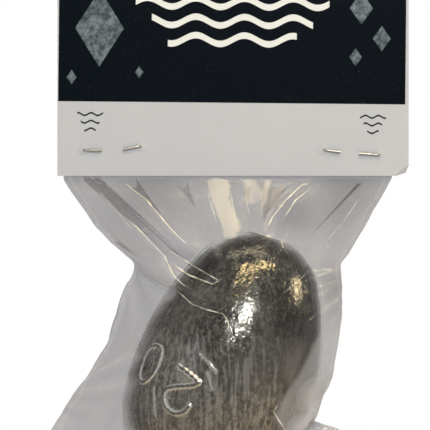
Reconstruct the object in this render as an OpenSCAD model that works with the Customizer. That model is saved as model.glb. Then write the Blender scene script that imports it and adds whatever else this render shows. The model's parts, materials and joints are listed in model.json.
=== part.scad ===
// Fishing sinker in its hang pack: a cast lead bean sinker, loose in a clear
// film bag that is stapled into a folded header card.
// Millimetres. +Z is up, the pack faces -Y, and the origin is the middle of
// the hang hole. The bag hangs from the card's lower edge.

/* [Header card] */
// Width of the folded card
card_w = 78; // [74:1:100]
// Height of each flap, from the fold to the lower edge
card_h = 55; // [45:1:80]
// Thickness of the board
board_t = 0.45; // [0.3:0.05:0.8]
// Diameter of the hang hole
hang_hole_d = 6; // [5:0.5:8]
// Depth of the hang hole's centre below the fold
hang_hole_drop = 8; // [6:0.5:12]

/* [Staples] */
// Width across the crown
staple_crown = 12.7; // [10:0.1:14]
// Diameter of the wire
staple_wire_d = 0.55; // [0.4:0.05:0.7]
// Length of each bent-over leg
staple_leg = 4; // [3:0.1:5]
// Distance from the bag's side edge, or a narrower card's, to the middle of the staple
staple_inset = 10.5; // [9:0.5:18]
// Height of the staples above the card's lower edge
staple_rise = 6; // [4:0.5:10]

/* [Bag] */
// Flat width of the bag
bag_w = 74; // [68:1:74]
// Thickness of the film
film_t = 0.2; // [0.15:0.05:0.3]
// Length of the mouth that the card clamps
mouth_h = 22; // [14:1:30]
// Length of the hanging bag, from the card's lower edge to its bottom edge
bag_drop = 86; // [84:1:100]
// Width of the welds down the sides and along the bottom
weld_w = 2; // [1.5:0.5:3]

/* [Sinker] */
// Length over the two rounded ends
sinker_l = 61; // [56:1:64]
// Largest diameter
sinker_d = 40.5; // [36:0.5:42]
// Diameter of the hole for the line
line_bore_d = 4.5; // [3:0.5:6]
// Lean of the sinker in the bag
sinker_tilt = 18.5; // [8:0.5:22]
// Drop from the card's lower edge to the top of the sinker
sinker_drop = 12.5; // [11:0.5:16]

/* [Hidden] */

// Card and staples
film_gap = 0.1;
flap_clear = 0.1;
pierce_clear = 0.1;
staple_seat = 0.03;
staple_bend_r = 0.45;
mouth_overhang = 0.2;
flap_gap = 2 * film_t + film_gap + 2 * flap_clear;
flap_out = flap_gap / 2 + board_t;
card_low = hang_hole_drop - card_h;
fold_z = hang_hole_drop - flap_out;
staple_x = min(card_w, bag_w) / 2 - staple_inset;
staple_z = card_low + staple_rise;
wire_r = staple_wire_d / 2;
staple_half = staple_crown / 2 - wire_r;
crown_y = flap_out + wire_r + staple_seat;
leg_straight = 2 * (crown_y - staple_bend_r);
clinch_l = staple_leg - staple_bend_r;

// Where the bag flexes, just below the card, and how far it sits off the card's middle
bag_side = -1;
flex_drop = 0.45;
flex_clear = 0.1;
flex_z = card_low - flex_drop;
bag_top = flex_z - flex_clear;
bag_low = card_low - bag_drop;

// The sinker's outline: three arcs, a blunt top, a fuller bottom and a long side
top_end_share = 0.76;
low_end_share = 0.985;
egg_steps = 36;
egg_r = sinker_d / 2;
top_r = egg_r * top_end_share;
low_r = egg_r * low_end_share;
top_c = sinker_l / 2 - top_r;
low_c = low_r - sinker_l / 2;
arc_ratio = (egg_r - top_r) / (egg_r - low_r);
arc_rest = (egg_r - top_r) * (low_r - top_r);
arc_span = top_c - low_c;
low_span = (sqrt(arc_span * arc_span + (arc_ratio - 1) * (arc_span * arc_span - arc_rest))
            - arc_span) / (arc_ratio - 1);
side_r = (low_span * low_span / (egg_r - low_r) + egg_r + low_r) / 2;
side_c = low_c + low_span;
top_join = top_c + top_r * (top_c - side_c) / (side_r - top_r);
low_join = low_c - low_r * (side_c - low_c) / (side_r - low_r);

// Marks of the mould on the sinker
bore_flare = 0.8;
seam_w = 0.4;
seam_h = 0.15;
gate_d = 5;
gate_h = 0.2;
gate_lean = 24;

// The bag round the sinker; its lower weld hangs to one side
film_clear = 0.7;
bag_rows = 34;
arc_cols = 11;
slope_limit = 2.5;
weld_side = -7;
// How the film bulges: its section's width above and below the sinker, as a share of the way
// to the side seams, the bow of its loose sides, and of its run down to the lower weld
top_full_share = 0.45;
low_full_share = 0.93;
bow_share = 0.2;
low_bow = 2.2;
// Spare film beyond the sinker's side, as [share of the drop, share of the bag's width]
left_ear_shares = [[0, 0.5], [0.05, 0.445], [0.12, 0.345], [0.18, 0.247], [0.225, 0.155],
                   [0.25, 0.135], [0.3, 0.115], [0.36, 0.092], [0.43, 0.078], [0.48, 0.09],
                   [0.55, 0.134], [0.63, 0.188], [0.7, 0.222], [0.8, 0.3], [0.975, 0.45],
                   [1, 0.45]];
right_ear_shares = [[0, 0.49], [0.06, 0.4], [0.12, 0.296], [0.18, 0.19], [0.225, 0.11],
                    [0.25, 0.087], [0.3, 0.073], [0.4, 0.06], [0.5, 0.05], [0.6, 0.045],
                    [0.64, 0.06], [0.68, 0.11], [0.8, 0.225], [0.975, 0.43], [1, 0.43]];

// Arcs are fine enough for the small parts at this many sides
$fn = 48;

// Radius of the sinker's outline at height z on its own axis
function egg_radius(z) =
    z >= top_join ? sqrt(max(0, top_r * top_r - (z - top_c) * (z - top_c)))
  : z <= low_join ? sqrt(max(0, low_r * low_r - (z - low_c) * (z - low_c)))
  : egg_r - side_r + sqrt(side_r * side_r - (z - side_c) * (z - side_c));

// Heights along the sinker's axis, closer together at its ends
function egg_height(i) = sinker_l / 2 * cos(180 * i / egg_steps);

// The sinker's outline as [radius, height], grown by a margin
function egg_side(margin = 0) =
    [for (i = [0 : egg_steps])
        let (z = egg_height(i), r = egg_radius(z))
        [r + (i > 0 && i < egg_steps ? margin : 0),
         z + (i == 0 ? margin : i == egg_steps ? -margin : 0)]];

// A point of the outline, leaned as the sinker leans in the bag
function lean(p) = [p[0] * cos(sinker_tilt) + p[1] * sin(sinker_tilt),
                    p[1] * cos(sinker_tilt) - p[0] * sin(sinker_tilt)];
right_side = [for (p = egg_side()) lean(p)];
left_side = [for (p = egg_side()) lean([-p[0], p[1]])];
outline_high = max([for (p = concat(right_side, left_side)) p[1]]);
outline_low = min([for (p = concat(right_side, left_side)) p[1]]);

// Middle of the sinker in the pack
sinker_mid_x = -1.2;
sinker_mid_z = card_low - sinker_drop - outline_high;

// Where a side of the leaned outline crosses height h
function crossings(side, h) =
    [for (i = [0 : len(side) - 2])
        let (a = side[i], b = side[i + 1])
        if ((a[1] - h) * (b[1] - h) <= 0 && a[1] != b[1])
            a[0] + (b[0] - a[0]) * (h - a[1]) / (b[1] - a[1])];

// Half the sinker's thickness, front to back, at height h of the leaned outline
function half_thick(h) =
    sqrt(max([for (p = egg_side())
        let (off = (p[1] * cos(sinker_tilt) - h) / sin(sinker_tilt))
        p[0] * p[0] - off * off]));

// The sinker's level section at height z in the pack: [middle x, half width, half thickness]
function section(z) =
    let (h = z - sinker_mid_z,
         cuts = concat(crossings(right_side, h), crossings(left_side, h)))
    [sinker_mid_x + (max(cuts) + min(cuts)) / 2,
     (max(cuts) - min(cuts)) / 2 + film_clear,
     half_thick(h) + film_clear];

// Heights at which the film may leave the sinker, above and below
touch_steps = 60;
touch_heights = [for (i = [1 : touch_steps])
                     sinker_mid_z + outline_low
                         + (outline_high - outline_low) * i / (touch_steps + 1)];
touch_thick = [for (z = touch_heights) section(z)[2]];
top_slopes = [for (i = [0 : touch_steps - 1]) touch_thick[i] / (bag_top - touch_heights[i])];
low_slopes = [for (i = [0 : touch_steps - 1])
                 touch_thick[i] / (touch_heights[i] - bag_low - weld_w)];
top_slope = max(top_slopes);
low_slope = max(low_slopes);
top_touch = touch_heights[search(top_slope, top_slopes)[0]];
low_touch = touch_heights[search(low_slope, low_slopes)[0]];
top_section = section(top_touch);
low_section = section(low_touch);

// The film's core at height z: the sinker's section, a straight run to the card, or a bowed
// one to the weld
function core(z) =
    z > top_touch
      ? let (share = max(0, bag_top - z) / (bag_top - top_touch))
        [bag_side + (top_section[0] - bag_side) * share, top_section[1] * share,
         top_section[2] * share]
  : z < low_touch
      ? let (share = max(0, z - bag_low - weld_w) / (low_touch - bag_low - weld_w))
        [weld_side + (low_section[0] - weld_side) * share, low_section[1] * share,
         low_section[2] * share + low_bow * sin(180 * share)]
  : section(z);

// Share of the way to its side seams by which the section widens at height z
function fullness(z) =
    z > top_touch ? top_full_share * sin(180 * (z - top_touch) / (bag_top - top_touch))
  : z < low_touch
      ? low_full_share * min(1, (low_touch - z) / (low_touch - bag_low - weld_w))
  : 0;

// How far the film stands in front of the bag's middle plane at x
function film_depth(x, mid, half_w, half_t, reach) =
    half_t <= 0 ? 0
  : let (squeeze = half_t / half_w,
         at = abs(x - mid) * squeeze,
         seam = reach * squeeze,
         leave = half_t * half_t / seam,
         fall = sqrt(seam * seam - half_t * half_t))
    at >= seam ? 0
  : at <= leave ? sqrt(half_t * half_t - at * at)
  : (seam - at) * half_t / fall
    + bow_share * half_t / egg_r * (seam - leave) / squeeze
        * sin(180 * (at - leave) / (seam - leave));

// Slope of the film there, to keep its thickness even
function film_slope(x, mid, half_w, half_t, reach) =
    half_t <= 0 ? 0
  : let (squeeze = half_t / half_w,
         at = abs(x - mid) * squeeze,
         seam = reach * squeeze)
    at >= seam ? 0
  : min(slope_limit, squeeze
        * (at <= half_t * half_t / seam ? at / sqrt(max(film_t, half_t * half_t - at * at))
                                        : half_t / sqrt(seam * seam - half_t * half_t)));

// One row of the film from the left edge to the right, as [x, inner depth, outer depth]
function film_row(z) =
    let (c = core(z),
         share = min(1, (card_low - z) / bag_drop),
         left = c[1] + lookup(share, left_ear_shares) * bag_w,
         right = c[1] + lookup(share, right_ear_shares) * bag_w)
    concat(
        [[c[0] - left, 0, film_t]],
        [for (i = [-arc_cols : arc_cols])
            let (reach = (i < 0 ? left : right) - weld_w,
                 x = c[0] + reach * sin(90 * i / arc_cols),
                 half_w = c[1] + (reach - c[1]) * fullness(z),
                 depth = film_gap / 2 * (z > bag_top - film_t ? 1 : 0)
                       + film_depth(x, c[0], half_w, c[2], reach),
                 slope = film_slope(x, c[0], half_w, c[2], reach))
            [x, depth, depth + film_t * sqrt(1 + slope * slope)]],
        [[c[0] + right, 0, film_t]]);

row_heights = concat(
    [for (i = [0 : bag_rows]) bag_top + (bag_low + weld_w - bag_top) * i / bag_rows],
    [bag_low]);
film_rows = [for (z = row_heights) film_row(z)];
cols = 2 * arc_cols + 3;
rows = len(row_heights);

// One sheet of film, closed at its edges; side is -1 for the front and 1 for the back
module film_sheet(side) {
    points = [for (face = [1, 2]) for (j = [0 : rows - 1]) for (p = film_rows[j])
                 [p[0], side * p[face], row_heights[j]]];
    sheet = rows * cols;
    quads = concat(
        [for (j = [0 : rows - 2]) for (i = [0 : cols - 2])
            let (a = j * cols + i) [a, a + 1, a + cols + 1, a + cols]],
        [for (j = [0 : rows - 2]) for (i = [0 : cols - 2])
            let (a = sheet + j * cols + i) [a, a + cols, a + cols + 1, a + 1]],
        [for (i = [0 : cols - 2]) [i, i + sheet, i + sheet + 1, i + 1]],
        [for (i = [0 : cols - 2])
            let (a = (rows - 1) * cols + i) [a, a + 1, a + sheet + 1, a + sheet]],
        [for (j = [0 : rows - 2])
            let (a = j * cols) [a, a + cols, a + cols + sheet, a + sheet]],
        [for (j = [0 : rows - 2])
            let (a = j * cols + cols - 1) [a, a + sheet, a + cols + sheet, a + cols]]);
    faces = [for (q = quads) for (half = [[0, 1, 2], [0, 2, 3]])
                let (f = [for (k = half) q[k]]) side < 0 ? [f[2], f[1], f[0]] : f];
    polyhedron(points, faces);
}

// The staple holes through the card and the mouth of the bag
module leg_holes() {
    for (side = [-1, 1]) for (leg = [-1, 1])
        translate([side * staple_x + leg * staple_half, 0, staple_z])
            rotate([90, 0, 0])
                cylinder(r = wire_r + pierce_clear, h = 2 * crown_y, center = true);
}

// The board, folded over at the top, seen from its side
module card_section() {
    difference() {
        union() {
            translate([-flap_out, card_low]) square([2 * flap_out, fold_z - card_low]);
            translate([0, fold_z]) circle(r = flap_out);
        }
        translate([-flap_gap / 2, card_low - board_t])
            square([flap_gap, fold_z - card_low + board_t]);
        translate([0, fold_z]) circle(r = flap_gap / 2);
    }
}

module header_card() {
    color("#16202a") difference() {
        rotate([90, 0, 90]) linear_extrude(card_w, center = true) card_section();
        rotate([90, 0, 0]) cylinder(d = hang_hole_d, h = 4 * flap_out, center = true);
        leg_holes();
    }
}

// A quarter bend of the staple's wire, round the corner at the origin's +X +Z side
module wire_bend() {
    rotate_extrude(angle = 90) translate([staple_bend_r, 0]) circle(r = wire_r, $fn = 16);
}

module wire_run(l) {
    cylinder(r = wire_r, h = l, $fn = 16);
}

// Half a staple: crown behind the card, leg through it, end bent over in front
module half_staple() {
    translate([0, crown_y, 0]) rotate([0, 90, 0]) wire_run(staple_half - staple_bend_r);
    translate([staple_half - staple_bend_r, crown_y - staple_bend_r, 0]) wire_bend();
    translate([staple_half, crown_y - staple_bend_r, 0]) rotate([90, 0, 0])
        wire_run(leg_straight);
    translate([staple_half - staple_bend_r, staple_bend_r - crown_y, 0]) rotate([0, 0, -90])
        wire_bend();
    translate([staple_half - staple_bend_r, -crown_y, 0]) rotate([0, -90, 0])
        wire_run(clinch_l);
}

module staple(side) {
    color("silver") translate([side * staple_x, 0, staple_z]) {
        half_staple();
        mirror([1, 0, 0]) half_staple();
    }
}

module bag_mouth() {
    color("gainsboro", 0.5) difference() {
        for (side = [-1, 1])
            translate([bag_side - bag_w / 2, side < 0 ? -film_gap / 2 - film_t : film_gap / 2,
                       card_low - mouth_overhang])
                cube([bag_w, film_t, mouth_h + mouth_overhang]);
        leg_holes();
    }
}

module bag_front_film() {
    color("gainsboro", 0.5) film_sheet(-1);
}

module bag_back_film() {
    color("gainsboro", 0.5) film_sheet(1);
}

// The casting on its own axis, fuller end down, with the mould's seam and the gate mark
module casting() {
    difference() {
        union() {
            rotate_extrude() polygon(concat([[0, sinker_l / 2]], egg_side(), [[0, -sinker_l / 2]]));
            rotate([90, 0, 0]) linear_extrude(seam_w, center = true)
                polygon(concat(egg_side(seam_h),
                               [for (i = [egg_steps : -1 : 0])
                                   let (p = egg_side(seam_h)[i]) [-p[0], p[1]]]));
            translate([0, 0, low_c]) rotate([0, -gate_lean, 0])
                translate([0, 0, -low_r - gate_h]) cylinder(d = gate_d, h = gate_d);
        }
        cylinder(d = line_bore_d, h = 2 * sinker_l, center = true);
        for (end = [0, 1]) mirror([0, 0, end])
            translate([0, 0, sinker_l / 2 - bore_flare])
                cylinder(d1 = line_bore_d, d2 = line_bore_d + 4 * bore_flare,
                         h = 2 * bore_flare);
    }
}

module sinker() {
    color("dimgray") translate([sinker_mid_x, 0, sinker_mid_z]) rotate([0, sinker_tilt, 0])
        casting();
}

header_card();
staple(-1);  // staple_left
staple(1);  // staple_right
bag_mouth();
bag_front_film();
bag_back_film();
sinker();
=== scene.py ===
import json
import math

import bpy
import numpy as np
from mathutils import Matrix, Vector, noise
from mathutils.bvhtree import BVHTree


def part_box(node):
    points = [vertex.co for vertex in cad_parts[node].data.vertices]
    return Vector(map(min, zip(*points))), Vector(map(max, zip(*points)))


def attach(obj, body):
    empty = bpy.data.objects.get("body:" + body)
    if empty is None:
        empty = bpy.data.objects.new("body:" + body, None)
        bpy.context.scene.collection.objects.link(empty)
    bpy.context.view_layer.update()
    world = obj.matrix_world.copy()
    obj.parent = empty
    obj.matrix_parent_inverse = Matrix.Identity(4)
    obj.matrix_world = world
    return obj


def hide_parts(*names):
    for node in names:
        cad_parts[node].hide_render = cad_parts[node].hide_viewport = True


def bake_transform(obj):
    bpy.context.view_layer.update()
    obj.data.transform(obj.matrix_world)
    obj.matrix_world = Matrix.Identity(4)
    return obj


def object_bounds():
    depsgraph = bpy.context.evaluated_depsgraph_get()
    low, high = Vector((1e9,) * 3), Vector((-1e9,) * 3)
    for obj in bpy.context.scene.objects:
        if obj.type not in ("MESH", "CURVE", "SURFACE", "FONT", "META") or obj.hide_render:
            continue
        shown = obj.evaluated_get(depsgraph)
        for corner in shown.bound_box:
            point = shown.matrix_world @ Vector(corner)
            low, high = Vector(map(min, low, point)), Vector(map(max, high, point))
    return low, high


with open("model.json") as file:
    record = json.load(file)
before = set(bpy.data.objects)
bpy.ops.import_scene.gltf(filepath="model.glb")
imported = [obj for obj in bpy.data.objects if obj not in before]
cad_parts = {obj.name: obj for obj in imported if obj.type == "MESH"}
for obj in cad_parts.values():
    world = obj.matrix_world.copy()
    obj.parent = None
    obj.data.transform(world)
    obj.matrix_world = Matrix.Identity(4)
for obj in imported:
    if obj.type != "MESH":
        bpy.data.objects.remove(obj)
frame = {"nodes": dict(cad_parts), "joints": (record.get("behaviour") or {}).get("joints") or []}  # metres; the pack faces -Y and hangs from the origin
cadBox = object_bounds()
mm = 0.001
print("stage: frame loaded")

photoScale = {"pixelsPerMetre": 4500, "zeroX": 233, "zeroZ": -35.5}


# Where a pixel of the photograph lies in the plane of the pack
def atPixel(x, y):
    k = photoScale["pixelsPerMetre"]
    return (x - photoScale["zeroX"]) / k, (photoScale["zeroZ"] - y) / k


def pixelLine(pixels):
    return np.array([atPixel(*pixel) for pixel in pixels])


# A length in pixels of the photograph, in metres
def pixelLength(count):
    return count / photoScale["pixelsPerMetre"]


def deselectAll():
    bpy.ops.object.select_all(action='DESELECT')


def makeActive(obj):
    deselectAll()
    obj.select_set(True)
    bpy.context.view_layer.objects.active = obj


def setAll(target, settings):
    for name, value in settings.items():
        setattr(target, name, value)


def linkNew(name, data):
    obj = bpy.data.objects.new(name, data)
    bpy.context.collection.objects.link(obj)
    return obj


def startEdit(obj):
    makeActive(obj)
    bpy.ops.object.mode_set(mode='EDIT')
    bpy.ops.mesh.select_all(action='SELECT')


# Merges doubled points and turns the faces outwards
def closeMesh(mergeWithin):
    bpy.ops.mesh.select_all(action='SELECT')
    bpy.ops.mesh.remove_doubles(threshold=mergeWithin)
    bpy.ops.mesh.normals_make_consistent(inside=False)
    bpy.ops.object.mode_set(mode='OBJECT')


def applyAll(obj):
    makeActive(obj)
    for modifier in list(obj.modifiers):
        bpy.ops.object.modifier_apply(modifier=modifier.name)


def readPoints(mesh):
    points = np.empty(len(mesh.vertices) * 3, np.float32)
    mesh.vertices.foreach_get("co", points)
    return points.reshape(-1, 3).astype(float)


def writePoints(mesh, points):
    mesh.vertices.foreach_set("co", np.asarray(points, np.float32).ravel())
    mesh.update()


def readNormals(mesh):
    normals = np.empty(len(mesh.vertices) * 3, np.float32)
    mesh.vertices.foreach_get("normal", normals)
    return normals.reshape(-1, 3).astype(float)


def addFloat(mesh, name, values):
    attribute = mesh.attributes.new(name, 'FLOAT', 'POINT')
    attribute.data.foreach_set("value", np.asarray(values, np.float32))


def readFloat(mesh, name):
    values = np.empty(len(mesh.vertices), np.float32)
    mesh.attributes[name].data.foreach_get("value", values)
    return values


def smoothStep(x, low, high):
    t = np.clip((x - low) / (high - low), 0, 1)
    return t * t * (3 - 2 * t)


# Distance to a drawn line; signed, it is negative on the line's right
def distanceToLine(points, line, signed=False):
    best, side = np.full(len(points), 1.0), np.ones(len(points))
    for a, b in zip(line[:-1], line[1:]):
        run = b - a
        t = np.clip(((points - a) @ run) / (run @ run), 0, 1)
        away = np.linalg.norm(points - a - t[:, None] * run, axis=1)
        left = np.sign(run[0] * (points[:, 1] - a[1]) - run[1] * (points[:, 0] - a[0]))
        side = np.where(away < best, left, side)
        best = np.minimum(best, away)
    return best * side if signed else best


def distanceToPixel(spread, pixel):
    return np.linalg.norm(spread - np.array(atPixel(*pixel)), axis=1)


# A round patch: 1 over its core and 0 at its reach, which is in pixels
def patchOver(spread, middle, reach, core=0.0):
    away = distanceToPixel(spread, middle)
    return 1 - smoothStep(away, pixelLength(core * reach), pixelLength(reach))


# Shader helpers

class NodeSheet:  # a node tree being filled from left to right

    def __init__(self, tree):
        self.tree = tree

    def put(self, value, socket):
        if isinstance(value, bpy.types.NodeSocket):
            self.tree.links.new(value, socket)
        elif value is not None:
            socket.default_value = value

    def add(self, kind, settings=None, inputs=None):
        node = self.tree.nodes.new(kind)
        setAll(node, settings or {})
        for key, value in (inputs or {}).items():
            self.put(value, node.inputs[key])
        return node

    def math(self, operation, a, b=None, c=None, clamp=False):
        node = self.add('ShaderNodeMath', {"operation": operation, "use_clamp": clamp})
        for value, socket in zip((a, b, c), node.inputs):
            self.put(value, socket)
        return node.outputs[0]

    def times(self, a, b):
        return self.math('MULTIPLY', a, b)

    def minus(self, a, b):
        return self.math('SUBTRACT', a, b)

    def timesPlus(self, a, b, c, clamp=False):
        return self.math('MULTIPLY_ADD', a, b, c, clamp)

    def apart(self, a, b):
        return self.math('ABSOLUTE', self.minus(a, b))

    def highest(self, values):
        top = values[0]
        for value in values[1:]:
            top = self.math('MAXIMUM', top, value)
        return top

    # From low to high in a straight line as the share goes from 0 to 1
    def between(self, share, low, high):
        return self.timesPlus(share, high - low, low)

    def ramp(self, value, low, high, start=0.0, end=1.0):
        node = self.add('ShaderNodeMapRange', {"interpolation_type": 'SMOOTHSTEP'},
                        {"Value": value, "From Min": low, "From Max": high, "To Min": start,
                         "To Max": end})
        return node.outputs["Result"]

    def mix(self, factor, a, b):
        node = self.add('ShaderNodeMix', {"data_type": 'RGBA'})
        self.put(factor, node.inputs[0])
        self.put(a, node.inputs[6])
        self.put(b, node.inputs[7])
        return node.outputs[2]

    def noise(self, vector, scale, detail=3.0, rough=0.5, distortion=0.0):
        node = self.add('ShaderNodeTexNoise', None,
                        {"Vector": vector, "Scale": scale, "Detail": detail, "Roughness": rough,
                         "Distortion": distortion})
        return node.outputs["Fac"]

    def mapping(self, vector, kind='POINT', **values):
        node = self.add('ShaderNodeMapping', {"vector_type": kind}, {"Vector": vector, **values})
        return node.outputs[0]

    def vector(self, operation, a, b=None):
        return self.add('ShaderNodeVectorMath', {"operation": operation}, {0: a, 1: b}).outputs

    def split(self, vector):
        return self.add('ShaderNodeSeparateXYZ', None, {0: vector}).outputs

    def join(self, x, y, z):
        return self.add('ShaderNodeCombineXYZ', None, {0: x, 1: y, 2: z}).outputs[0]

    def objectPlace(self):
        return self.add('ShaderNodeTexCoord').outputs["Object"]

    def attribute(self, name):
        return self.add('ShaderNodeAttribute', {"attribute_name": name}).outputs["Fac"]

    def bump(self, shader, height, strength=1.0, distance=1 * mm):
        node = self.add('ShaderNodeBump', None,
                        {"Strength": strength, "Distance": distance, "Height": height})
        self.put(node.outputs[0], shader.inputs["Normal"])

    def group(self, tree, **inputs):
        node = self.add('ShaderNodeGroup')
        node.node_tree = tree
        for key, value in inputs.items():
            self.put(value, node.inputs[key])
        return node.outputs


def newGroup(name, inputs, outputs):
    tree = bpy.data.node_groups.new(name, 'ShaderNodeTree')
    for direction, sockets in (('INPUT', inputs), ('OUTPUT', outputs)):
        for socket in sockets:
            kind = 'NodeSocketVector' if socket == "Vector" else 'NodeSocketFloat'
            tree.interface.new_socket(socket, in_out=direction, socket_type=kind)
    sheet = NodeSheet(tree)
    source = sheet.add('NodeGroupInput').outputs
    sink = sheet.add('NodeGroupOutput').inputs
    return tree, sheet, source, sink


def newMaterial(name):
    material = bpy.data.materials.new(name)
    material.use_nodes = True
    return material, NodeSheet(material.node_tree), material.node_tree.nodes["Principled BSDF"]


def setMaterial(obj, material):
    obj.data.materials.clear()
    obj.data.materials.append(material)


marking = {
    "crinkles": ((1.0, 0.0, 1.0), (1.9, 5.3, 0.6)),  # scale, shift and strength of each layer
    "crinkleNoise": (2.0, 0.5, 0.6),  # detail, roughness and distortion
    "spotReach": 1.5,  # a spot's radius for a share of 1, in cells
    "patchScale": 0.2,  # the spots come in patches, at this share of their scale
    "patchIn": (0.52, 0.62),
}


# Fine creases: thin ridges where two noises cross their middle
def crinkleGroup():
    tree, sheet, source, sink = newGroup("crinkle", ["Vector", "Scale", "Width"], ["Ridge"])
    ridges = []
    for scale, shift, strength in marking["crinkles"]:
        moved = sheet.vector('ADD', source["Vector"], (shift, shift, shift))[0]
        field = sheet.noise(moved, sheet.times(source["Scale"], scale), *marking["crinkleNoise"])
        off = sheet.math('DIVIDE', sheet.apart(field, 0.5), source["Width"], clamp=True)
        ridges.append(sheet.between(off, strength, 0.0))
    sheet.put(sheet.highest(ridges), sink["Ridge"])
    return tree


# Small scattered spots of dust or wear, as a mask
def specksGroup():
    tree, sheet, source, sink = newGroup("specks", ["Vector", "Scale", "Share"], ["Mask"])
    cells = sheet.add('ShaderNodeTexVoronoi', None,
                      {"Vector": source["Vector"], "Scale": source["Scale"]}).outputs["Distance"]
    patches = sheet.noise(source["Vector"], sheet.times(source["Scale"], marking["patchScale"]))
    near = sheet.math('LESS_THAN', cells, sheet.times(source["Share"], marking["spotReach"]))
    sheet.put(sheet.times(near, sheet.ramp(patches, *marking["patchIn"])), sink["Mask"])
    return tree


crinkle = crinkleGroup()
specks = specksGroup()


# Camera, floor and light

viewing = {
    "aim": (-0.004, 0.0, -0.0557),
    "distance": 0.65,
    "frameWidth": 0.0956,  # how wide the picture is at the pack
    "sensor": 36.0,
}


def addCamera():
    data = bpy.data.cameras.new("camera")
    data.sensor_width = viewing["sensor"]
    data.lens = viewing["sensor"] * viewing["distance"] / viewing["frameWidth"]
    data.clip_start = 10 * mm
    camera = linkNew("camera", data)
    camera.location = Vector(viewing["aim"]) - Vector((0, viewing["distance"], 0))
    camera.rotation_euler = (math.radians(90), 0, 0)
    bpy.context.scene.camera = camera


lighting = {
    "world": 0.19,
    "lamps": [
        # name, direction from the sinker, distance, size, power, colour
        ("keyLamp", (0.154, -0.843, 0.48), 0.60, (0.16, 0.05), 1.9, (0.97, 0.99, 1.0)),
        ("windowLamp", (0.21, -0.47, 0.84), 0.55, (0.42, 0.07), 1.9, (1.0, 0.78, 0.40)),
        ("ceilingLamp", (0.02, 0.20, 0.974), 0.55, (0.42, 0.26), 2.4, (1.0, 0.86, 0.62)),
        ("sideLamp", (0.93, 0.05, 0.34), 0.55, (0.12, 0.07), 0.6, (1.0, 0.82, 0.50)),
        ("fillLamp", (-0.70, -0.65, 0.30), 0.80, (0.30, 0.30), 0.3, (0.80, 0.90, 1.0)),
        ("backLamp", (-0.20, 0.90, 0.45), 0.80, (0.35, 0.35), 1.2, (0.97, 0.98, 1.0)),
    ],
    "lampAim": (0.0, 0.0, -0.075),
}


def addLamps():
    aim = Vector(lighting["lampAim"])
    for name, direction, distance, size, power, colour in lighting["lamps"]:
        lamp = bpy.data.lights.new(name, 'AREA')
        lamp.shape = 'RECTANGLE'
        lamp.size, lamp.size_y = size
        lamp.energy = power
        lamp.color = colour
        obj = linkNew(name, lamp)
        obj.location = aim + Vector(direction).normalized() * distance
        obj.rotation_euler = (aim - obj.location).to_track_quat('-Z', 'Y').to_euler()


# 1 for the camera and for what metal, gloss and clear film show; 0 for light on the object
def seenDirectly(sheet):
    path = sheet.add('ShaderNodeLightPath').outputs
    return sheet.highest([path["Is Camera Ray"], path["Is Glossy Ray"],
                          path["Is Transmission Ray"]])


def addWorld():
    world = bpy.data.worlds.new("world")
    world.use_nodes = True
    bpy.context.scene.world = world
    sheet = NodeSheet(world.node_tree)
    background = world.node_tree.nodes["Background"]
    background.inputs["Color"].default_value = (1, 1, 1, 1)
    strength = sheet.ramp(seenDirectly(sheet), 0.0, 1.0, lighting["world"], 1.0)
    sheet.put(strength, background.inputs["Strength"])


floor = {
    "size": 6.0,
    "drop": 12 * mm,  # below the bag
    "paleFrom": 0.12,  # from here out the floor fades into the white ground
    "paleTo": 0.40,
    "grainNoise": (90.0, 4.0),  # scale and detail
    "roughness": 0.9,
    "tones": ((0.80, 0.80, 0.80, 1), (0.86, 0.86, 0.86, 1)),
}


def addFloor():
    deselectAll()
    bpy.ops.mesh.primitive_plane_add(size=floor["size"],
                                     location=(0, 0, cadBox[0][2] - floor["drop"]))
    plane = bpy.context.object
    plane.name = "studioFloor"
    material, sheet, shader = newMaterial("paleFloor")
    place = sheet.objectPlace()
    grain = sheet.noise(place, *floor["grainNoise"])
    sheet.put(sheet.mix(grain, *floor["tones"]), shader.inputs["Base Color"])
    shader.inputs["Roughness"].default_value = floor["roughness"]
    shader.inputs["Specular IOR Level"].default_value = 0.0
    reach = sheet.vector('LENGTH', place)[1]
    white = sheet.times(sheet.ramp(reach, floor["paleFrom"], floor["paleTo"]), seenDirectly(sheet))
    glow = sheet.add('ShaderNodeEmission', None, {"Color": (1, 1, 1, 1), "Strength": 1.0})
    blend = sheet.add('ShaderNodeMixShader', None,
                      {0: white, 1: shader.outputs[0], 2: glow.outputs[0]})
    sheet.put(blend.outputs[0], material.node_tree.nodes["Material Output"].inputs["Surface"])
    plane.data.materials.append(material)


addCamera()
addLamps()
addWorld()
addFloor()
bpy.context.scene.view_settings.view_transform = 'Standard'
print("stage: camera, lamps and floor")


# The lead sinker

sinkerJoint = next(j for j in frame["joints"] if j["name"] == "sinker_turn")
sinkerMiddle = Vector(sinkerJoint["pos_m"])
sinkerAxis = Vector(sinkerJoint["axis"]).normalized()
sinkerLean = math.atan2(sinkerAxis.x, sinkerAxis.z)
sinkerPlace = Matrix.Translation(sinkerMiddle) @ Matrix.Rotation(sinkerLean, 4, 'Y')

casting = {
    "boreR": 2.25 * mm,
    "flare": 0.8 * mm,
    "flareClear": 2.5,  # how many flares from the bore the cast detail is at its full height
    "offSeam": 0.35,  # the outline is read where x is under this share of the radius
    "offBore": 1.6,  # and the radius is over this many of the bore's
    "lipDrop": 0.02 * mm,
    "lipClear": 1.02,
    "merge": 0.01 * mm,
    "outlineSteps": 214,
    "boreSteps": 12,
    "turns": 400,
    "seamHeight": 0.15 * mm,
    "seamWidth": 0.5 * mm,
    "lowEndR": 19.95 * mm,
    "gateR": 2.5 * mm,
    "gateEdge": 1.12,  # the gate mark's foot, as a share of its radius
    "gateRise": 0.2 * mm,
    "gateLean": math.radians(24),
    "swell": 0.10 * mm,
    "swellScale": 90,
    "flowRise": 0.07 * mm,
    "flowAround": 9,
    "flowAlong": 45,
    "flowOctaves": 3,
    "pitRise": 0.03 * mm,
    "pitScale": 900,
}
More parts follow.
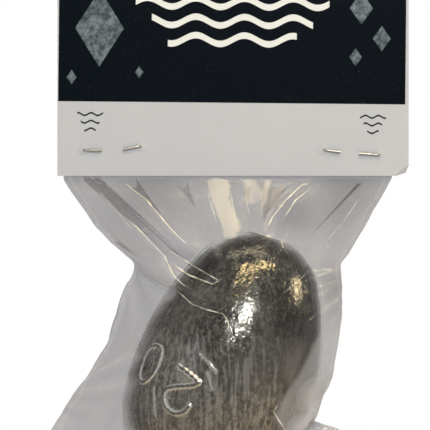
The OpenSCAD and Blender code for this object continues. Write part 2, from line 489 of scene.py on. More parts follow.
castMark = {
    "half": 0.52 * mm,
    "top": 0.55,  # a stroke's flat top and its foot, in half-widths
    "foot": 1.25,
    "rise": 0.50 * mm,
    "besideFrom": 1.2,  # where the wrinkles come back beside a stroke, in half-widths
    "besideTo": 3,
    "calmOver": 0.75,  # the share of the wrinkles that goes on a stroke and beside it
    "calmBeside": 0.375,
    "nickReach": 0.44 * mm,
    "nickRise": 0.20 * mm,
    "nickTone": 0.3,
}
# The strokes of the cast number and some cast nicks, as pixels over the casting's front
markStrokes = [
    [(163, 349), (161.8, 355), (159.3, 362.5), (156, 369), (151.3, 375.4), (146.8, 379.2),
     (143, 379.2), (141.3, 375.4), (141.8, 369), (143.8, 362.5), (146.3, 355), (149.7, 348.3),
     (153.8, 344.6), (158.8, 343.8), (162.2, 345.8), (163, 349)],
    [(190.1, 400.8), (186.3, 405.4), (180.5, 408.3), (174.7, 407.9), (169.7, 405), (165.9, 400),
     (164.7, 394.2), (165.5, 388.3), (168.8, 384.2), (174.7, 382.7), (181.3, 381.8), (188, 381.3),
     (194.7, 380.4), (199.7, 377.9)],
    [(199.7, 377.9), (194.7, 373.3), (189.7, 369.2), (184.7, 365.4), (179.7, 362.1)],
]
nickStrokes = [
    [(201, 350), (208, 358), (216, 368)], [(208, 368), (212, 384)], [(155, 384), (157, 411)],
]

# Darker and browner patches on the casting's front, as pixels: middle, reach and strength
leadPatches = {
    "dark": [((305, 322), 38, 0.95), ((275, 300), 30, 0.4), ((190, 318), 30, 0.35),
             ((225, 345), 26, 0.25)],
    "brown": [((296, 362), 30, 0.9), ((300, 400), 40, 0.5), ((262, 372), 26, 0.35)],
}
patchCore = 0.2  # the share of its reach over which such a patch is at full strength


# Points of the pack in the casting's own frame: its axis is Z
def sinkerLocal(points):
    turned = np.array(sinkerPlace.inverted())
    return points @ turned[:3, :3].T + turned[:3, 3]


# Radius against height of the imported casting, read at its front and back, off the seam
def castingOutline():
    points = sinkerLocal(readPoints(frame["nodes"]["sinker"].data))
    radius = np.hypot(points[:, 0], points[:, 1])
    offSeam = np.abs(points[:, 0]) < casting["offSeam"] * radius
    kept = offSeam & (radius > casting["offBore"] * casting["boreR"])
    order = np.argsort(points[kept, 2])
    return points[kept, 2][order], radius[kept][order]


# Pixels over the casting as places round and along its unrolled surface
def onCasting(pixels):
    heights, radii = castingOutline()
    across = Vector((sinkerAxis.z, 0, -sinkerAxis.x))
    places = []
    for x, z in pixelLine(pixels):
        away = Vector((x, 0, z)) - sinkerMiddle
        along = away.dot(sinkerAxis)
        radius = float(np.interp(along, heights, radii))
        turn = math.asin(max(-1, min(1, away.dot(across) / radius)))
        places.append((turn * radius, along))
    return np.array(places)


# 1 along strokes drawn on the unrolled casting, running out beside them
def overStrokes(unrolled, strokes, near, far):
    over = np.zeros(len(unrolled))
    for stroke in strokes:
        away = distanceToLine(unrolled, onCasting(stroke))
        over = np.maximum(over, 1 - smoothStep(away, near, far))
    return over


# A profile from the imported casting, spun round its axis: the outside and the bore
def spinCasting():
    heights, radii = castingOutline()
    high, low = heights[-1], heights[0]
    steps = casting["outlineSteps"]
    profile = []
    for i in range(steps + 1):
        z = (high + low) / 2 + (high - low) / 2 * math.cos(math.pi * i / steps)
        profile.append((float(np.interp(z, heights, radii)), z))
    flare, boreR = casting["flare"], casting["boreR"]
    lipR, lipDrop = boreR + flare, casting["lipDrop"]
    profile = [p for p in profile if p[0] > lipR * casting["lipClear"]]
    profile.insert(0, (lipR, profile[0][1] + lipDrop))
    profile.append((lipR, profile[-1][1] - lipDrop))
    boreHigh, boreLow = profile[0][1] - flare, profile[-1][1] + flare
    for i in range(casting["boreSteps"] + 1):
        profile.append((boreR, boreLow + (boreHigh - boreLow) * i / casting["boreSteps"]))
    mesh = bpy.data.meshes.new("leadCasting")
    mesh.from_pydata([(r, 0, z) for r, z in profile],
                     [(i, (i + 1) % len(profile)) for i in range(len(profile))], [])
    obj = linkNew("leadCasting", mesh)
    startEdit(obj)
    bpy.ops.mesh.spin(steps=casting["turns"], angle=2 * math.pi, center=(0, 0, 0), axis=(0, 0, 1))
    closeMesh(casting["merge"])
    return obj


# Slow swell, flow lines round the casting and small pits, at one point of it
def castingNoise(point, angle):
    around = Vector((math.cos(angle), math.sin(angle), 0)) * casting["flowAround"]
    swell = noise.noise(Vector(point) * casting["swellScale"])
    flow = noise.turbulence(around + Vector((0, 0, point[2] * casting["flowAlong"])),
                            casting["flowOctaves"], True)
    return swell, flow, noise.noise(Vector(point) * casting["pitScale"])


# Raises the seam, gate, mark and the wrinkles that the cooling lead left
def shapeCasting(obj):
    mesh = obj.data
    points, normals = readPoints(mesh), readNormals(mesh)
    radius = np.hypot(points[:, 0], points[:, 1])
    boreR, flare = casting["boreR"], casting["flare"]
    outside = smoothStep(radius, boreR + flare, boreR + casting["flareClear"] * flare)
    angle = np.arctan2(points[:, 0], -points[:, 1])
    unrolled = np.stack([angle * np.interp(points[:, 2], *castingOutline()), points[:, 2]], 1)
    seam = 1 - smoothStep(np.abs(points[:, 1]), 0, casting["seamWidth"])
    half = castMark["half"]
    mark = overStrokes(unrolled, markStrokes, half * castMark["top"], half * castMark["foot"])
    beside = overStrokes(unrolled, markStrokes, half * castMark["besideFrom"],
                         half * castMark["besideTo"])
    nick = overStrokes(unrolled, nickStrokes, 0, castMark["nickReach"])
    lean, lowEndR = casting["gateLean"], casting["lowEndR"]
    gateSpot = np.array((-math.sin(lean) * lowEndR, 0,
                         points[:, 2].min() + lowEndR * (1 - math.cos(lean))))
    gate = 1 - smoothStep(np.linalg.norm(points - gateSpot, axis=1), casting["gateR"],
                          casting["gateR"] * casting["gateEdge"])
    swell, flow, pits = np.array([castingNoise(p, a) for p, a in zip(points, angle)]).T
    calm = 1 - np.maximum(castMark["calmOver"] * mark, castMark["calmBeside"] * beside)
    wrinkled = (flow - flow.mean()) * casting["flowRise"] + pits * casting["pitRise"]
    rise = (seam * casting["seamHeight"] + mark * castMark["rise"] + nick * castMark["nickRise"]
            + gate * casting["gateRise"] + swell * casting["swell"] + wrinkled * calm)
    writePoints(mesh, points + normals * (rise * outside)[:, None])
    addFloat(mesh, "mark", np.maximum(mark, nick * castMark["nickTone"]))
    mesh.transform(sinkerPlace)
    mesh.update()
    placed = readPoints(mesh)
    for name, patches in leadPatches.items():
        tone = np.zeros(len(placed))
        for middle, reach, strength in patches:
            over = patchOver(placed[:, [0, 2]], middle, reach, patchCore)
            tone = np.maximum(tone, strength * over * (placed[:, 1] < 0))
        addFloat(mesh, name, tone)
    makeActive(obj)
    bpy.ops.object.shade_smooth()


lead = {
    "base": ((0.024, 0.023, 0.020, 1), (0.075, 0.071, 0.062, 1)),
    "dull": ((0.082, 0.074, 0.066, 1), (0.225, 0.208, 0.183, 1)),
    "streak": (0.085, 0.083, 0.077, 1),
    "run": (0.24, 0.235, 0.22, 1),
    "wrinkle": (0.20, 0.188, 0.155, 1),
    "dark": (0.02, 0.018, 0.016, 1),
    "brown": (0.16, 0.125, 0.11, 1),
    "mark": (0.060, 0.058, 0.055, 1),
    # The painted highlight along the number's edges
    "paintedMarkHighlight": (0.50, 0.49, 0.46, 1),
    # Each noise's scale, detail, roughness and distortion
    "blotchNoise": (110.0, 4.0, 0.6),
    "flowNoise": (9.0, 5.0, 0.62, 0.4),
    "runNoise": (1300.0, 1.0, 0.50, 0.35),
    "wrinkleNoise": (1350.0, 1.0, 0.50, 0.8),
    "flowAlong": 17.0,
    "runLong": 0.09,  # small, so that the runs are long and upright
    "wrinkleLong": 0.8,
    # From where to where in its noise a tone comes in, and its shares there if not 0 and 1
    "paleIn": (0.36, 0.66),
    "streakIn": (0.50, 0.70),
    "runIn": (0.50, 0.66, 0.0, 0.6),
    "wrinkleIn": (0.46, 0.68, 0.0, 0.55),
    "mottleIn": (0.39, 0.61),
    "lowPart": (-8 * mm, 10 * mm),  # where it ends, along the axis from the casting's middle
    "cap": (2 * mm, 14 * mm),  # where it starts
    "runShare": (1.0, 0.2),  # low down and at the cap
    "dullShare": 0.7,  # over the lower part
    "patchShares": {"dark": 0.7, "brown": 0.6},
    "markShare": 0.7,
    "markHighlightShare": 3.4,
    "metallic": 0.9,
    "roughness": (0.35, 0.70, 0.12, 0.20),  # from where to where in the blotches, least and most
    "dullRougher": 0.12,
    # Bump heights in millimetres, low down and at the cap
    "flowHeight": (0.12, 0.01),
    "runHeight": (0.05, 0.008),
    "wrinkleHeight": (0.052, 0.074),
}


def leadMaterial():
    material, sheet, shader = newMaterial("castLead")
    place = sheet.objectPlace()
    centred = sheet.mapping(place, 'TEXTURE', Location=tuple(sinkerMiddle),
                            Rotation=(0, sinkerLean, 0))
    x, y, z = sheet.split(centred)
    around = sheet.split(sheet.vector('NORMALIZE', sheet.join(x, y, 0.0))[0])
    unrolled = sheet.join(around[0], around[1], sheet.times(z, lead["flowAlong"]))
    flow = sheet.noise(unrolled, *lead["flowNoise"])
    runs = sheet.noise(sheet.mapping(place, Scale=(1.0, 1.0, lead["runLong"])),
                       *lead["runNoise"])
    blotch = sheet.noise(centred, *lead["blotchNoise"])
    wrinkles = sheet.noise(sheet.mapping(centred, Scale=(1.0, 1.0, lead["wrinkleLong"])),
                           *lead["wrinkleNoise"])
    lowPart = sheet.ramp(z, *lead["lowPart"], 1.0, 0.0)
    cap = sheet.ramp(z, *lead["cap"])
    # Dark lead with streaks, pale runs and wrinkles, duller towards the lower end
    tone = sheet.mix(sheet.ramp(blotch, *lead["paleIn"]), *lead["base"])
    tone = sheet.mix(sheet.ramp(flow, *lead["streakIn"]), tone, lead["streak"])
    run = sheet.times(sheet.ramp(runs, *lead["runIn"]), sheet.between(cap, *lead["runShare"]))
    tone = sheet.mix(run, tone, lead["run"])
    tone = sheet.mix(sheet.ramp(wrinkles, *lead["wrinkleIn"]), tone, lead["wrinkle"])
    mottle = sheet.timesPlus(wrinkles, 0.5, sheet.times(runs, 0.5))
    dull = sheet.mix(sheet.ramp(mottle, *lead["mottleIn"]), *lead["dull"])
    tone = sheet.mix(sheet.times(lowPart, lead["dullShare"]), tone, dull)
    for name, share in lead["patchShares"].items():
        tone = sheet.mix(sheet.attribute(name), tone, sheet.mix(share, tone, lead[name]))
    # Painted highlight along the number's edges, where they would catch the lamps
    mark = sheet.attribute("mark")
    edge = sheet.times(mark, sheet.minus(1.0, mark))
    tone = sheet.mix(sheet.times(mark, lead["markShare"]), tone, lead["mark"])
    tone = sheet.mix(sheet.times(edge, lead["markHighlightShare"]), tone, lead["paintedMarkHighlight"])
    sheet.put(tone, shader.inputs["Base Color"])
    shader.inputs["Metallic"].default_value = lead["metallic"]
    rough = sheet.ramp(blotch, *lead["roughness"])
    sheet.put(sheet.timesPlus(lowPart, lead["dullRougher"], rough), shader.inputs["Roughness"])
    height = sheet.times(flow, sheet.between(cap, *lead["flowHeight"]))
    height = sheet.timesPlus(runs, sheet.between(cap, *lead["runHeight"]), height)
    height = sheet.timesPlus(wrinkles, sheet.between(cap, *lead["wrinkleHeight"]), height)
    sheet.bump(shader, height)
    return material


leadCasting = spinCasting()
shapeCasting(leadCasting)
setMaterial(leadCasting, leadMaterial())
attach(leadCasting, "sinker")
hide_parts("sinker")
print("stage: sinker", len(leadCasting.data.polygons), "faces")


# The header card

cardLow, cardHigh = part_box("header_card")
card = {
    "board": 0.45 * mm,
    "columns": 96,
    "rows": 150,
    "bow": 0.45 * mm,
    "bowFade": 8 * mm,  # how far below the card the film still follows its bow
    "cornerFrom": (406, 166),  # the dog-ear's crease, in pixels
    "cornerTo": (393.5, 176.2),
    "cornerTurn": math.radians(62),
    "hangHoleR": 3.0 * mm,
    "punchDepth": 20 * mm,
}


# How far the printed card stands forward of flat, in metres
def cardBow(x, z):
    across = np.clip(1 - (x / cardHigh.x) ** 2, 0, 1)
    down = smoothStep(-z, -cardHigh.z, -cardLow.z)
    fade = 1 - smoothStep(-z, -cardLow.z, -cardLow.z + card["bowFade"])
    return -card["bow"] * across * down * fade


# One long strip of board, rolled over at the top so that both flaps hang down
def foldCard():
    width = cardHigh.x - cardLow.x
    foldR = cardHigh.y - card["board"] / 2
    straight = cardHigh.z - cardHigh.y - cardLow.z
    arc = math.pi * foldR
    length = 2 * straight + arc
    deselectAll()
    bpy.ops.mesh.primitive_grid_add(x_subdivisions=card["columns"], y_subdivisions=card["rows"],
                                    size=1)
    obj = bpy.context.object
    obj.name = "printedCard"
    points = readPoints(obj.data)
    x = points[:, 0] * width
    run = (points[:, 1] + 0.5) * length
    turn = np.clip((run - straight) / foldR, 0, math.pi)
    y = -foldR * np.cos(turn)
    z = np.where(run < straight, cardLow.z + run,
                 np.where(run > straight + arc, cardLow.z + (length - run),
                          cardLow.z + straight + foldR * np.sin(turn)))
    writePoints(obj.data, np.stack([x, y, z], 1))
    return obj


# Creases both flaps along the dog-ear's line and turns the corner to the back
def bendCorner(obj):
    ax, az = atPixel(*card["cornerFrom"])
    bx, bz = atPixel(*card["cornerTo"])
    across = Vector((bx - ax, 0, bz - az)).normalized()
    outward = Vector((-across.z, 0, across.x))
    if outward.x < 0:
        outward.negate()
    startEdit(obj)
    bpy.ops.mesh.bisect(plane_co=(ax, 0, az), plane_no=outward)
    bpy.ops.object.mode_set(mode='OBJECT')
    points = readPoints(obj.data)
    away = (points - np.array((ax, 0, az))) @ np.array(outward)
    beyond = away > 0.001 * mm
    turn = card["cornerTurn"]
    shift = away * (math.cos(turn) - 1)
    points[beyond] += shift[beyond, None] * np.array(outward)
    points[beyond, 1] += away[beyond] * math.sin(turn)
    writePoints(obj.data, points)


# Gives the board its thickness, punches the hang hole and bows the flaps
def finishCard(obj):
    solid = obj.modifiers.new("board", 'SOLIDIFY')
    solid.thickness = card["board"]
    solid.offset = 0
    applyAll(obj)
    deselectAll()
    bpy.ops.mesh.primitive_cylinder_add(vertices=64, radius=card["hangHoleR"],
                                        depth=card["punchDepth"],
                                        rotation=(math.radians(90), 0, 0))
    punch = bpy.context.object
    hole = obj.modifiers.new("hole", 'BOOLEAN')
    hole.operation = 'DIFFERENCE'
    hole.object = punch
    hole.solver = 'EXACT'
    applyAll(obj)
    bpy.data.objects.remove(punch)
    points = readPoints(obj.data)
    points[:, 1] += cardBow(points[:, 0], points[:, 2])
    writePoints(obj.data, points)
    makeActive(obj)
    bpy.ops.object.shade_smooth_by_angle(angle=math.radians(35))


printing = {
    "navy": ((0.0008, 0.0024, 0.0050, 1), (0.0022, 0.0042, 0.0072, 1)),
    "white": ((0.416, 0.436, 0.490, 1), (0.387, 0.406, 0.458, 1)),
    "grey": ((0.035, 0.05, 0.06, 1), (0.16, 0.20, 0.23, 1)),
    "pale": (0.585, 0.61, 0.635, 1),
    "ink": (0.012, 0.016, 0.028, 1),
    "dust": (0.5, 0.5, 0.5, 1),
    "tilt": math.radians(0.55),
    "softEdge": 0.05 * mm,
    "panelLow": -30.8 * mm,
    "panelHalf": 38.55 * mm,
    # Each noise's scale, detail and roughness
    "fibreNoise": (1500.0, 5.0, 0.7),
    "cloudNoise": (60.0, 3.0),
    "speckleNoise": (700.0, 5.0, 0.75),
    "navyIn": (0.3, 0.8),  # from where to where in its noise a tone comes in
    "greyIn": (0.35, 0.7),
    "roughness": (0.3, 0.7, 0.42, 0.55),  # from where to where in the fibres, least and most
    "dustScale": 1400.0,
    "dustShare": 0.07,
    "dustStrength": 0.10,
    "sheen": 0.03,
    "fibreHeight": 0.06,  # as a share of a dimple's
    "bump": (0.6, 0.4 * mm),  # strength and a dimple's height
}
# Rows of waves under each other: the middles that they reach out from, the height of the first,
# the step down, each row's reach, and a wave's length, rise and half-width
waves = {
    "middles": [0.0],
    "top": -8.6 * mm,
    "step": 4.1 * mm,
    "reaches": [21.5 * mm, 17.9 * mm, 14.3 * mm],
    "length": 10.8 * mm,
    "rise": 0.95 * mm,
    "half": 0.72 * mm,
}
ripples = {
    "middles": [-31.4 * mm, 31.4 * mm],
    "top": -33.6 * mm,
    "step": 1.7 * mm,
    "reaches": [2.9 * mm, 2.1 * mm, 1.3 * mm],
    "length": 2.9 * mm,
    "rise": 0.28 * mm,
    "half": 0.2 * mm,
}
# Lozenges: middle across and up, half-width and half-height, in millimetres
lozenges = [(-29.5, -14.5, 5.4, 8.6), (28.6, -9.5, 2.6, 3.6), (33.2, -16.2, 2.0, 2.8),
            (27.4, -20.4, 1.4, 2.0), (-35.6, -25.4, 1.1, 1.6), (-20.6, -24.2, 0.9, 1.3)]


# The card's generic print: a dark panel on both flaps; waves, lozenges and ripples in front
def printGroup():
    tree, sheet, source, sink = newGroup("cardPrint", ["Vector"],
                                         ["Panel", "Pale", "Grey", "Ink"])
    x, y, z = sheet.split(source["Vector"])
    onFront = sheet.math('LESS_THAN', y, 0.0)

    def inside(distance):
        return sheet.ramp(distance, -printing["softEdge"], printing["softEdge"], 1.0, 0.0)

    def rowsOf(rows):
        phase = sheet.times(x, 2 * math.pi / rows["length"])
        swing = sheet.times(sheet.math('SINE', phase), rows["rise"])
        shapes = []
        for middle in rows["middles"]:
            for row, reach in enumerate(rows["reaches"]):
                level = sheet.minus(z, rows["top"] - row * rows["step"])
                line = sheet.minus(sheet.apart(level, swing), rows["half"])
                end = sheet.minus(sheet.apart(x, middle), reach)
                shapes.append(inside(sheet.math('MAXIMUM', line, end)))
        return sheet.highest(shapes)

    def lozenge(middle, height, halfWide, halfHigh):
        dx = sheet.math('DIVIDE', sheet.apart(x, middle * mm), halfWide * mm)
        dz = sheet.math('DIVIDE', sheet.apart(z, height * mm), halfHigh * mm)
        far = sheet.minus(sheet.math('ADD', dx, dz), 1.0)
        return inside(sheet.times(far, min(halfWide, halfHigh) * mm))

    below = sheet.minus(printing["panelLow"], z)
    past = sheet.minus(sheet.math('ABSOLUTE', x), printing["panelHalf"])
    sheet.put(inside(sheet.math('MAXIMUM', below, past)), sink["Panel"])
    greys = sheet.highest([lozenge(*shape) for shape in lozenges])
    for name, shape in (("Pale", rowsOf(waves)), ("Grey", greys), ("Ink", rowsOf(ripples))):
        sheet.put(sheet.times(shape, onFront), sink[name])
    return tree


def cardMaterial():
    material, sheet, shader = newMaterial("printedBoard")
    place = sheet.objectPlace()
    turned = sheet.mapping(place, Rotation=(0, -printing["tilt"], 0))
    printed = sheet.group(printGroup(), Vector=turned)
    fibres = sheet.noise(place, *printing["fibreNoise"])
    cloud = sheet.noise(place, *printing["cloudNoise"])
    speckle = sheet.noise(place, *printing["speckleNoise"])
    white = sheet.mix(cloud, *printing["white"])
    navy = sheet.mix(sheet.ramp(fibres, *printing["navyIn"]), *printing["navy"])
    grey = sheet.mix(sheet.ramp(speckle, *printing["greyIn"]), *printing["grey"])
    colour = sheet.mix(printed["Panel"], white, navy)
    colour = sheet.mix(printed["Pale"], colour, printing["pale"])
    colour = sheet.mix(printed["Grey"], colour, grey)
    colour = sheet.mix(printed["Ink"], colour, printing["ink"])
    dust = sheet.group(specks, Vector=place, Scale=printing["dustScale"],
                       Share=printing["dustShare"])["Mask"]
    colour = sheet.mix(sheet.times(dust, printing["dustStrength"]), colour, printing["dust"])
    sheet.put(colour, shader.inputs["Base Color"])
    sheet.put(sheet.ramp(fibres, *printing["roughness"]), shader.inputs["Roughness"])
    shader.inputs["Specular IOR Level"].default_value = printing["sheen"]
    # The paper is pushed up where the four legs come through
    x, _, z = sheet.split(place)
    dimples = []
    for legX, legZ in stapleLegs():
        dx = sheet.minus(x, legX)
        dz = sheet.minus(z, legZ)
        squares = sheet.math('ADD', sheet.times(dx, dx), sheet.times(dz, dz))
        dimples.append(sheet.ramp(sheet.math('SQRT', squares), stapling["dimpleTop"],
                                  stapling["dimpleFoot"], 1.0, 0.0))
    height = sheet.timesPlus(fibres, printing["fibreHeight"], sheet.highest(dimples))
    sheet.bump(shader, height, *printing["bump"])
    return material


# The staples: crown behind, legs through the board, ends bent over in front

stapling = {
    "wireR": 0.275 * mm,
    "seat": 0.05 * mm,
    "bendR": 0.5 * mm,
    # The guide points of a leg's bends: how far in from the wire on the board, in bend radii
    "frontBend": (0.35, 1.1),
    "backBend": (0.3, 1.0),
    "splay": 0.12 * mm,
    "tipLift": 0.12 * mm,
    "middleLift": 0.10 * mm,
    "dimpleTop": 0.2 * mm,
    "dimpleFoot": 1.5 * mm,
    "wire": ((0.20, 0.195, 0.19, 1), (0.42, 0.41, 0.40, 1)),
    "rust": (0.06, 0.05, 0.045, 1),
    "drawnScale": (150, 2500, 2500),  # long marks along the wire
    "drawnNoise": (1.0, 3.0, 0.6),  # scale, detail and roughness
    "rustScale": 2200.0,
    "rustShare": 0.2,
    "metallic": 0.9,
    "roughness": (0.2, 0.8, 0.28, 0.45),  # from where to where in the noise, least and most
    "bump": (0.3, 0.05 * mm),  # strength and height
}
# From the card's middle plane to the middle of a wire that lies on the board
wireFace = cardHigh.y + stapling["wireR"] + stapling["seat"]
# Each bent-over end: the pixel where it leaves the board and the one where it stops
stapleEnds = {
    "stapleLeft": (((83.6, 150.4), (102.0, 150.6)), ((141.5, 146.6), (123.4, 149.6))),
    "stapleRight": (((323.0, 150.2), (340.5, 152.4)), ((379.8, 155.2), (358.6, 153.6))),
}


def stapleLegs():
    return [atPixel(*start) for pair in stapleEnds.values() for start, stop in pair]


# A spot of such a wire: side -1 is in front and 1 behind
def onBoard(x, z, side, lift=0.0):
    return x, side * (wireFace + lift) + float(cardBow(np.array(x), np.array(z))), z


# One half of a staple, from its bent-over end in front to its crown behind
def halfStaple(leg, tip, inward):
    r, splay = stapling["bendR"], stapling["splay"] * inward
    frontOuter, frontInner = [-wireFace + r * share for share in stapling["frontBend"]]
    backOuter, backInner = [wireFace - r * share for share in stapling["backBend"]]
    x, z = leg
    return [
        onBoard(*tip, -1, stapling["tipLift"]),
        onBoard(*((tip + leg) / 2), -1, stapling["middleLift"]),
        onBoard(x + r * inward, z, -1),
        (x + splay, frontOuter, z),
        (x, frontInner, z),
        (x, backInner, z),
        (x + splay, backOuter, z),
        onBoard(x + r * inward, z, 1),
    ]


def bendStaple(name):
    (leftLeg, leftTip), (rightLeg, rightTip) = [pixelLine(end) for end in stapleEnds[name]]
    points = halfStaple(leftLeg, leftTip, 1)
    points.append(onBoard(*((leftLeg + rightLeg) / 2), 1))
    points.extend(reversed(halfStaple(rightLeg, rightTip, -1)))
    curve = bpy.data.curves.new(name, 'CURVE')
    curve.dimensions = '3D'
    curve.bevel_depth = stapling["wireR"]
    curve.bevel_resolution = 3
    curve.use_fill_caps = True
    spline = curve.splines.new('NURBS')
    spline.points.add(len(points) - 1)
    for point, place in zip(spline.points, points):
        point.co = (*place, 1)
    spline.use_endpoint_u = True
    spline.order_u = 3
    spline.resolution_u = 5
    obj = linkNew(name, curve)
    makeActive(obj)
    bpy.ops.object.convert(target='MESH')
    obj = bpy.context.object
    bpy.ops.object.shade_smooth()
    return obj


def wireMaterial():
    material, sheet, shader = newMaterial("stapleWire")
    place = sheet.objectPlace()
    lines = sheet.noise(sheet.mapping(place, Scale=stapling["drawnScale"]),
                        *stapling["drawnNoise"])
    spots = sheet.group(specks, Vector=place, Scale=stapling["rustScale"],
                        Share=stapling["rustShare"])["Mask"]
    colour = sheet.mix(lines, *stapling["wire"])
    sheet.put(sheet.mix(spots, colour, stapling["rust"]), shader.inputs["Base Color"])
    shader.inputs["Metallic"].default_value = stapling["metallic"]
    sheet.put(sheet.ramp(lines, *stapling["roughness"]), shader.inputs["Roughness"])
    sheet.bump(shader, lines, *stapling["bump"])
    return material


printedCard = foldCard()
bendCorner(printedCard)
finishCard(printedCard)
setMaterial(printedCard, cardMaterial())
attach(printedCard, "header")
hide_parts("header_card")
wire = wireMaterial()
for name, node in (("stapleLeft", "staple_left"), ("stapleRight", "staple_right")):
    staple = bendStaple(name)
    setMaterial(staple, wire)
    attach(staple, "header")
    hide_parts(node)
print("stage: card and staples")


# The film bag: a flat tube of film, hung from the card and pushed out by the sinker

film = {
    "columns": 84,  # across each sheet
    "rows": 104,
    "mouthRows": 5,
    "mouthTop": -30 * mm,
    "flatWidth": 74 * mm,
    "middle": -1 * mm,
    "length": 96.5 * mm,  # along the film, below the card
    "slack": 0.3 * mm,
    "stretch": 0.04,  # the share by which the film is wider than its path where it is fullest
    "mouthGap": 0.3 * mm,
    "bodyGap": 1.5 * mm,
    "openRows": 8,  # rows below the card over which the sheets part
    "openSteep": 6,  # how steeply they part from the side welds inwards
    "skin": 0.70 * mm,  # how far the film stays off the lead
    "leastGap": 0.08 * mm,
    "foldPoints": 6,  # how many points a fold's lower end takes its depth from
    "tautRun": 2 * mm,
    "merge": 0.005 * mm,
    "patternScale": 10,  # the film's own pattern is laid out in decimetres
    "creaseRise": 0.34 * mm,
    "creaseWidth": 0.42 * mm,
    "creaseRunOut": 4 * mm,
    "creaseEnd": 0.25,  # the share of a crease that is left at its ends
    "creaseFrom": 0.5 * mm,  # below the card
    "creaseTo": 2.5 * mm,
}
# The cloth simulation: it runs at a larger scale, while the sinker grows to its full depth
simulation = {
    "scale": 20.0,
    "grow": 24,
    "frames": 38,
    "leadFaces": 0.3,  # the share of the casting's faces that is kept
    "startDepth": 0.03,
    "gravity": 0.2,
    # Blender's own names for the settings
    "cloth": {"quality": 5, "mass": 0.2, "tension_stiffness": 60, "compression_stiffness": 60,
              "shear_stiffness": 20, "bending_stiffness": 2, "tension_damping": 5,
              "compression_damping": 5, "shear_damping": 5, "bending_damping": 0.5,
              "air_damping": 2},
    "clothContact": {"distance_min": 0.004, "collision_quality": 3, "use_self_collision": False},
    "leadContact": {"thickness_inner": 0.2, "cloth_friction": 0.3},
}
# Creases pressed into the front sheet, each with a painted highlight along it, as pixels, with how
# sharp each is
creases = [
    (1.0, [(120, 179), (132, 188), (147, 199), (157, 211), (172, 229), (191, 247)]),
    (0.7, [(127, 217), (152, 242), (165, 256), (175, 275), (183, 283), (198, 290)]),
    (1.1, [(166, 257), (171, 251), (190, 263), (219, 279), (212, 282), (189, 273), (172, 262)]),
    (1.2, [(176, 289), (180, 292), (192, 302), (207, 307), (223, 311), (228, 319), (229, 336)]),
    (1.0, [(320, 180), (301, 185), (285, 200), (272, 217), (265, 231)]),
    (0.7, [(316, 184), (295, 200), (280, 223)]),
    (0.6, [(315, 264), (297, 280), (277, 296)]),
    (0.5, [(275, 236), (260, 247), (243, 254)]),
    (0.6, [(282, 390), (272.5, 407), (288, 432)]),
    (0.5, [(314, 394), (328, 390)]),
    (0.25, [(329, 260), (317, 272), (316, 300)]),
    (0.5, [(205, 182), (210, 200), (219, 230)]),
    (0.5, [(229, 182), (233, 206), (238, 230)]),
    (0.5, [(134, 268), (160, 285), (180, 292)]),
    (0.4, [(245, 180), (247, 205), (252, 226)]),
    (0.4, [(90, 182), (112, 205), (140, 238)]),
    (0.4, [(365, 190), (343, 222), (322, 246)]),
]
# Folds that run down from the card, as the pixels at their two ends and how far their middle
# stands out in millimetres: the film is drawn flat between each and the next
folds = [((60, 179), (132, 262), 0.0), ((92, 179), (160, 262), 0.0),
         ((120, 179), (191, 247), 0.5), ((165, 179), (206, 244), -0.3),
         ((205, 179), (222, 246), 0.2), ((238, 179), (246, 246), 0.2),
         ((247, 179), (250, 246), -0.15), ((262, 179), (262, 246), 0.1),
         ((284, 179), (272, 248), -0.4), ((304, 179), (281, 249), 0.5),
         ((320, 179), (290, 250), 0.1), ((356, 179), (318, 258), -0.1),
         ((396, 179), (343, 262), 0.0)]
# The bag's silhouette in the photograph, as pixels down its left and right sides
leftSide = [(62, 175), (62, 180), (72, 195), (83, 210), (93, 225), (107, 240), (125, 255),
            (134, 264), (134, 270), (127, 285), (122, 300), (118, 315), (113, 330), (109, 345),
            (99, 360), (88, 375), (75, 390), (65, 405), (57, 419), (51, 429), (45, 450),
            (40, 480), (37, 520), (37, 563)]
rightSide = [(394, 175), (392, 180), (384, 195), (375, 210), (367, 225), (358, 240), (349, 255),
             (341, 264), (342, 270), (343, 285), (343, 300), (343, 315), (341, 330), (339, 345),
             (336, 360), (334, 375), (328, 390), (316, 405), (311, 419), (341, 429), (350, 450),
             (356, 480), (360, 520), (360, 563)]


# Evenly spaced points along one side of the silhouette, below the card
def sideLine(pixels, count):
    line = pixelLine(pixels)
    line[0, 1] = cardLow.z
    steps = np.concatenate([[0], np.cumsum(np.linalg.norm(np.diff(line, axis=0), axis=1))])
    at = np.linspace(0, steps[-1], count)
    return np.stack([np.interp(at, steps, line[:, 0]), np.interp(at, steps, line[:, 1])], 1)


# The straight-and-tangent line over a row of (height, depth) points, as film takes it
def tightHull(points):
    hull = []
    for p in points:
        while len(hull) > 1 and ((hull[-1][0] - hull[-2][0]) * (p[1] - hull[-2][1])
                                 - (hull[-1][1] - hull[-2][1]) * (p[0] - hull[-2][0])) >= 0:
            hull.pop()
        hull.append(p)
    return np.array(hull)


# The bag's depth down its middle: tight over the sinker, from the card to the bottom weld
def depthLine(bottom):
    points = readPoints(frame["nodes"]["sinker"].data)
    step = 1 * mm
    profile = [(bottom, 0.0)]
    for height in np.arange(points[:, 2].min(), points[:, 2].max(), step):
        near = np.abs(points[:, 2] - height) < step
        profile.append((height, float(np.abs(points[near, 1]).max())))
    return tightHull(profile + [(cardLow.z, 0.0)])


